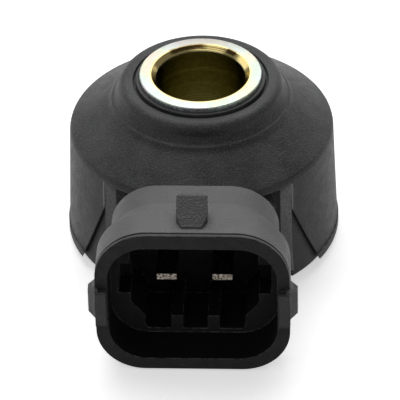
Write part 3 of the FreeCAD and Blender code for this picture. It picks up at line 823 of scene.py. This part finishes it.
FINISHES = {
    Slot.MOULDING: MouldedPlastic(
        "black_moulding", (0.036, 0.0365, 0.038), (0.058, 0.0585, 0.06), (0.36, 0.48),
        grain=6400.0, grain_depth=0.12, scuffs=0.25,
        coarse_zones=(
            Zone((0, -19.5, 16.8), (1.45, 1.9, 1.1), 1.0),
            *(Zone((side * 8.4, -22.6, 7.45), (0.45, 0.4, 1.75), 0.7) for side in SIDES),
        ),
        # Painted light on the flats and, a little, on the neck and shroud.
        painted_light_zones=(
            Zone((8.3, -9.0, 6.6), (0.55, 0.12, 5.05), 1.0),
            Zone((-8.3, -9.0, 6.6), (0.55, 0.12, 5.05), 0.8),
            Zone((0, -14.95, 9.0), (7.95, 2.45, 9.0), 0.13),
            Zone((0, -19.6, 9.0), (9.2, 2.38, 9.0), 0.17),
        ),
        # Painted shade in the socket and neck, and on part of the mouth's rim.
        painted_shade_zones=(
            Zone((0, -20.3, 7.72), (7.84, 1.9, 5.0), 0.99),
            Zone((0, -20.3, 7.72), (7.5, 1.9, 5.9), 0.99),
            Zone((0, -20.3, 7.72), (7.0, 1.9, 6.4), 0.99),
            Zone((0, -18.35, 7.72), (7.84, 0.1, 5.0), 0.8),
            Zone((0, -18.35, 8.0), (7.0, 0.1, 5.95), 0.8),
            Zone((0, -18.35, 7.72), (6.3, 0.1, 6.3), 0.8),
            Zone((0, -16.3, 7.8), (7.0, 1.9, 4.7), 0.99),
            Zone((0, -16.3, 7.2), (6.1, 1.9, 5.4), 0.99),
            Zone((0, -13.6, 7.0), (6.85, 0.9, 4.2), 0.99),
            Zone((0, -13.6, 7.2), (6.0, 0.9, 5.5), 0.99),
            Zone((0, -22.35, 7.87), (8.9, 0.08, 7.62), 0.55),
        ),
    ),
    Slot.PLATED_STEEL: PassivatedZinc(
        "passivated_zinc", (0.60, 0.60, 0.57), (0.52, 0.53, 0.48), (0.22, 0.36), metallic=1.0,
        drift=500.0, turned=True, scuffs=0.1,
    ),
    Slot.FILM: Finish(
        "amber_film", (0.62, 0.36, 0.10), (0.72, 0.46, 0.16), (0.2, 0.3), grain_depth=0.001,
    ),
    Slot.CONTACT_BRASS: Finish(
        "rolled_brass", (0.72, 0.52, 0.24), (0.60, 0.40, 0.17), (0.25, 0.4), metallic=1.0,
        scuffs=0.3,
    ),
    Slot.CERAMIC: Finish(
        "pressed_ceramic", (0.70, 0.66, 0.54), (0.78, 0.75, 0.66), (0.5, 0.7), grain=7000.0,
    ),
    Slot.TURNED_STEEL: Finish(
        "turned_steel", (0.50, 0.50, 0.51), (0.60, 0.60, 0.60), (0.25, 0.4), metallic=1.0,
        turned=True,
    ),
    Slot.SPRING_STEEL: Finish(
        "blued_spring", (0.10, 0.11, 0.17), (0.17, 0.17, 0.22), (0.3, 0.42), metallic=1.0,
        scuffs=0.4,
    ),
    # Its near-black second tone is painted shade of the deep socket, mottled into the tin's own
    # tone.
    Slot.TINNED_BRASS: Finish(
        "tinned_brass", (0.54, 0.48, 0.42), (0.04, 0.028, 0.02), (0.2, 0.32), metallic=1.0,
        drift=4300.0, grain_depth=0.03, scuffs=0.6,
    ),
    Slot.RESISTOR: Finish(
        "lacquered_resistor", (0.20, 0.33, 0.42), (0.26, 0.40, 0.48), (0.15, 0.25),
        grain_depth=0.001,
    ),
    Slot.WIRE: Finish(
        "tinned_wire", (0.70, 0.70, 0.68), (0.60, 0.60, 0.58), (0.3, 0.4), metallic=1.0,
        scuffs=0.3,
    ),
}


# ---- pieces


@dataclass
class Crown:
    """The moulding's turned top: shoulder, cone, collar, boss, ring groove and lip, as one skin.

    It lies a few hundredths of a millimetre over the model's bevelled top, which it rounds off, and
    fills the corner between collar and boss with a cove. Its lower edge starts inside the wall, so
    the wall and the shoulder meet in a soft crease.
    """

    skin: float = 0.02
    skirt: Corner = Corner(12.44, 11.8, 0.03)
    shoulder: Corner = Corner(12.5, 12.28, 0.55)
    cone_top: Corner = Corner(8.65, 14.95, 1.0)
    collar: Corner = Corner(8.45, 15.4, 0.34)
    cove: Corner = Corner(8.22, 15.5, 0.3)
    waist: Corner = Corner(7.8, 16.2, 0.45)
    boss: Corner = Corner(7.7, 17.3, 0.9)
    groove_outer: float = 6.4
    groove_inner: float = 6.1
    groove_floor: float = 16.9
    groove_rim: float = 0.06
    lip_height: float = 17.5
    lip_rounding: float = 0.07
    sleeve_radius: float = 5.77
    hidden_rounding: float = 0.03
    hidden_depth: float = 0.6
    boss_inset: float = 0.5
    skirt_inset: float = 0.8

    def profile(self) -> list[Corner]:
        """Closed half section, outside first and then back through the moulding.

        Returns:
            Its corners.
        """
        skin, small = self.skin, self.hidden_rounding
        over = (self.shoulder, self.cone_top, self.collar, self.cove, self.waist, self.boss)
        outer, inner = self.groove_outer - skin, self.groove_inner + skin
        lip, sleeve = self.lip_height + skin, self.sleeve_radius + skin
        return [
            self.skirt,
            *(Corner(at.radius + skin, at.height + skin, at.rounding) for at in over),
            Corner(outer, self.boss.height + skin, self.groove_rim),
            Corner(outer, self.groove_floor, small),
            Corner(inner, self.groove_floor, small),
            Corner(inner, lip, self.lip_rounding),
            Corner(sleeve, lip, small),
            Corner(sleeve, self.groove_floor - self.hidden_depth, small),
            Corner(self.boss.radius - self.boss_inset, self.cone_top.height, small),
            Corner(self.skirt.radius - self.skirt_inset, self.skirt.height, small),
        ]

    def build(self) -> bpy.types.Object:
        """The skin as a closed surface of revolution."""
        grid = surface_of_revolution(rounded_profile(self.profile()))
        return make_piece("crown", grid, capped=False)


@dataclass
class Sleeve:
    """The turned steel sleeve with its flange, chamfered bore and softly broken edges."""

    bore_radius: float = 4.2
    bore_chamfer: float = 0.45
    bore_edge: float = 0.06
    radius: float = 5.77
    height: float = 18.0
    top_edge: float = 0.12
    flange_radius: float = 10.0
    flange_thickness: float = 3.0
    flange_chamfer: float = 0.3
    small_edge: float = 0.04

    def profile(self) -> list[Corner]:
        """Closed half section, from the bore's foot outwards and up.

        Returns:
            Its corners.
        """
        mouth, small = self.bore_radius + self.bore_chamfer, self.small_edge
        return [
            Corner(mouth, 0.0, small),
            Corner(self.flange_radius - self.flange_chamfer, 0.0, small),
            Corner(self.flange_radius, self.flange_chamfer, small),
            Corner(self.flange_radius, self.flange_thickness, small),
            Corner(self.radius, self.flange_thickness, small),
            Corner(self.radius, self.height, self.top_edge),
            Corner(mouth, self.height, self.bore_edge),
            Corner(self.bore_radius, self.height - self.bore_chamfer, self.bore_edge),
            Corner(self.bore_radius, self.bore_chamfer, small),
        ]

    def build(self) -> bpy.types.Object:
        """The sleeve as a closed surface of revolution.

        Returns:
            The piece, which stands for its node.
        """
        grid = surface_of_revolution(rounded_profile(self.profile()))
        piece = make_piece("turned_sleeve", grid, capped=False)
        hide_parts("sleeve")
        return piece


@dataclass
class Blade:
    """A terminal: a flat strip with softly rounded edges, up from its washer and then forward."""

    node: str
    name: str
    thickness: float = 0.8
    bend_share: float = 0.5
    bend_stations: int = 12
    run_stations: int = 14
    tip_stations: int = 8
    tip_length: float = 0.35
    tip_shrink: tuple = (0.06, 0.2)
    section_points: int = 40
    squareness: float = 0.16

    def path(self, low: np.ndarray, high: np.ndarray) -> np.ndarray:
        """The strip's middle line: up the leg, round a quarter turn and forward to the tip.

        Args:
            low: the lowest corner of the node's box.
            high: its highest corner.

        Returns:
            Stations, rows of X, Y and Z.
        """
        leg, blade = high[1] - self.thickness / 2, high[2] - self.thickness / 2
        bend = self.thickness * self.bend_share
        angle = np.linspace(0, np.pi / 2, self.bend_stations)
        turn_y, turn_z = leg - bend + bend * np.cos(angle), blade - bend + bend * np.sin(angle)
        tip = low[1] + self.tip_length
        forward = np.concatenate([
            np.linspace(turn_y[-1], tip, self.run_stations)[1:],
            np.linspace(tip, low[1], self.tip_stations)[1:],
        ])
        y = np.concatenate([[leg], turn_y, forward])
        z = np.concatenate([[low[2]], turn_z, np.full(len(forward), blade)])
        return np.stack([np.full(len(y), (low[0] + high[0]) / 2), y, z], -1)

    def section(self, width: float) -> np.ndarray:
        """The strip's section, a superellipse: |cos|^p across and |sin|^p thick, with their signs.

        Args:
            width: across the strip.

        Returns:
            Rows of across and thick.
        """
        t = np.linspace(0, 2 * np.pi, self.section_points, endpoint=False)
        turn = np.stack([np.cos(t), np.sin(t)], -1)
        half = np.array([width / 2, self.thickness / 2])
        return np.sign(turn) * np.abs(turn) ** self.squareness * half

    def build(self) -> bpy.types.Object:
        """The strip, placed by its node's box, its last stations shrinking to the tip.

        Returns:
            The piece, which stands for its node.
        """
        low, high = (np.array(corner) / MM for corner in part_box(self.node))
        path = self.path(low, high)
        near_tip = np.clip((self.tip_length - (path[:, 1] - low[1])) / self.tip_length, 0, 1)
        scale = 1 - near_tip[:, None] ** 2 * np.array(self.tip_shrink)
        grid = section_along_path(path, self.section(high[0] - low[0]), scale)
        piece = make_piece(self.name, grid, capped=True)
        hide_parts(self.node)
        return piece


@dataclass
class KnockSensor:
    """The whole part: its new pieces, its model nodes and their finishes."""

    effects: Effects
    crown: Crown = field(default_factory=Crown)
    sleeve: Sleeve = field(default_factory=Sleeve)
    blades: tuple = (Blade("terminal_left", "blade_left"), Blade("terminal_right", "blade_right"))
    materials: dict = field(default_factory=dict)

    def dress(self, piece: bpy.types.Object, slot: Slot) -> None:
        """Give a new piece its slot, body and finish.

        Args:
            piece: the piece.
            slot: the record's slot for it.
        """
        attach(piece, ROOT)
        piece.data.materials.append(self.materials[slot])
        LOG.info("%s: %s, %d faces", piece.name, slot.value, len(piece.data.polygons))

    def build(self) -> None:
        """Make the finishes, dress the model's nodes and add the new pieces."""
        self.materials = {slot: finish.make(self.effects) for slot, finish in FINISHES.items()}
        slots = {row["node"]: Slot(row["material_slot"]) for row in frame["record"]["subparts"]}
        for name, node in frame["nodes"].items():
            for holder in node.material_slots:
                holder.material = self.materials[slots[name]]
            LOG.info("%s: %s", name, slots[name].value)
        self.dress(self.crown.build(), Slot.MOULDING)
        self.dress(self.sleeve.build(), Slot.PLATED_STEEL)
        for blade in self.blades:
            self.dress(blade.build(), Slot.TINNED_BRASS)


# ---- studio


class Lamp(NamedTuple):
    """A rectangular soft light: place and size in metres, and a radiance where 1 is white."""

    name: str
    place: tuple
    size: tuple
    radiance: float

    def build(self) -> None:
        """Put the lamp in the scene, facing the part."""
        width, height = self.size
        data = bpy.data.lights.new(self.name, "AREA")
        data.shape, data.size, data.size_y = "RECTANGLE", width, height
        data.energy = self.radiance * math.pi * width * height
        lamp = bpy.data.objects.new(self.name, data)
        bpy.context.scene.collection.objects.link(lamp)
        lamp.location = self.place
        lamp.rotation_mode = "QUATERNION"
        lamp.rotation_quaternion = Vector(self.place).to_track_quat("Z", "Y")


@dataclass
class Studio:
    """Pale floor, soft light from behind, above, in front and the sides, and the photo's camera.

    The camera's angles are in degrees. The floor's half size is in metres.
    """

    elevation: float = 36.657
    yaw: float = 3.2
    roll: float = 1.381
    distance: float = 450.0
    lens: float = 421.64
    sensor: float = 36.0
    clip: Span = (0.01, 10.0)
    target_height: float = 3.08
    target_shift: float = -0.328
    floor_half: float = 2.0
    floor_drop: float = 0.02
    floor_tone: float = 1.0
    floor_bounce: float = 0.10
    floor_glow: Span = (0.52, 1.0)
    glow_radius: Span = (24.0, 95.0)
    glossy_share: float = 0.62
    room_level: float = 0.17
    lamps: tuple[Lamp, ...] = (
        Lamp("back_light", (0.02, 0.34, 0.30), (0.56, 0.32), 1.66),
        Lamp("top_light", (-0.06, 0.13, 0.45), (0.40, 0.26), 2.4),
        Lamp("front_light", (-0.08, -0.30, 0.36), (0.62, 0.14), 0.8),
        Lamp("left_light", (-0.39, 0.19, 0.18), (0.24, 0.24), 1.05),
        Lamp("right_light", (0.28, 0.37, 0.22), (0.24, 0.24), 0.6),
    )

    def camera(self) -> None:
        """Place the camera from its elevation, yaw and roll."""
        el, yaw, roll = (math.radians(angle) for angle in (self.elevation, self.yaw, self.roll))
        back = Vector((math.sin(yaw) * math.cos(el), -math.cos(yaw) * math.cos(el), math.sin(el)))
        right = Vector((math.cos(yaw), math.sin(yaw), 0))
        up = back.cross(right)
        target = Vector((0, 0, self.target_height)) + right * self.target_shift
        side = right * math.cos(roll) - up * math.sin(roll)
        top = right * math.sin(roll) + up * math.cos(roll)
        data = bpy.data.cameras.new("camera")
        data.lens, data.sensor_width = self.lens, self.sensor
        data.clip_start, data.clip_end = self.clip
        camera = bpy.data.objects.new("camera", data)
        bpy.context.scene.collection.objects.link(camera)
        turn = Matrix((side, top, back)).transposed().to_4x4()
        camera.matrix_world = Matrix.Translation((target + back * self.distance) * MM) @ turn
        bpy.context.scene.camera = camera

    def seen(self, build: Tree) -> bpy.types.NodeSocket:
        """How much of the floor's white a ray meets.

        Args:
            build: the floor's builder.

        Returns:
            1 for camera and transmission rays, less for glossy ones, and 0 for light that bounces.
        """
        path = build.node("ShaderNodeLightPath").outputs
        both = build.math("MAXIMUM", path["Is Camera Ray"], path["Is Transmission Ray"])
        glossy = build.product(path["Is Glossy Ray"], self.glossy_share)
        return build.math("MAXIMUM", both, glossy)

    def floor_finish(self) -> bpy.types.Material:
        """Pale, darker for light that bounces, glowing more with distance, and clear from below.

        Returns:
            The material.
        """
        material = bpy.data.materials.new("pale_floor")
        material.use_nodes = True
        build = Tree(material.node_tree)
        seen = self.seen(build)
        tone, bounce = ((level, level, level, 1) for level in (self.floor_tone, self.floor_bounce))
        matt = build.node("ShaderNodeBsdfDiffuse", {"Color": build.mix(seen, bounce, tone)})
        away = build.vector("LENGTH", {0: build.place()}, "Value")
        near, far = (radius * MM for radius in self.glow_radius)
        strength = build.product(seen, build.ramp(away, (near, far), self.floor_glow))
        glow = build.node("ShaderNodeEmission", {"Strength": strength})
        both = build.node("ShaderNodeAddShader", {0: matt.outputs[0], 1: glow.outputs[0]})
        under = build.node("ShaderNodeNewGeometry").outputs["Backfacing"]
        clear = build.node("ShaderNodeBsdfTransparent")
        inputs = {0: under, 1: both.outputs[0], 2: clear.outputs[0]}
        sides = build.node("ShaderNodeMixShader", inputs)
        build.node("ShaderNodeOutputMaterial", {"Surface": sides.outputs[0]})
        return material

    def floor(self) -> None:
        """A plain floor just under the contact face."""
        half, z = self.floor_half, -self.floor_drop * MM
        corners = [(-half, -half, z), (half, -half, z), (half, half, z), (-half, half, z)]
        mesh = bpy.data.meshes.new("floor")
        mesh.from_pydata(corners, [], [(0, 1, 2, 3)])
        floor = bpy.data.objects.new("floor", mesh)
        bpy.context.scene.collection.objects.link(floor)
        mesh.materials.append(self.floor_finish())

    def room(self) -> None:
        """A dim even room that the lens sees white."""
        world = bpy.data.worlds.new("room")
        bpy.context.scene.world = world
        world.use_nodes = True
        build = Tree(world.node_tree)
        lens = build.node("ShaderNodeLightPath").outputs["Is Camera Ray"]
        strength = build.ramp(lens, (0, 1), (self.room_level, 1.0))
        room = build.node("ShaderNodeBackground", {"Color": (1, 1, 1, 1), "Strength": strength})
        build.node("ShaderNodeOutputWorld", {"Surface": room.outputs[0]})

    def build(self) -> None:
        """Make the whole studio and set the plain view transform."""
        self.camera()
        self.floor()
        for lamp in self.lamps:
            lamp.build()
        self.room()
        bpy.context.scene.view_settings.view_transform = "Standard"


def main() -> None:
    """Build the part and the studio round it."""
    logging.basicConfig(level=logging.INFO, format="%(name)s: %(message)s")
    KnockSensor(Effects()).build()
    Studio().build()


if __name__ == "__main__":
    main()
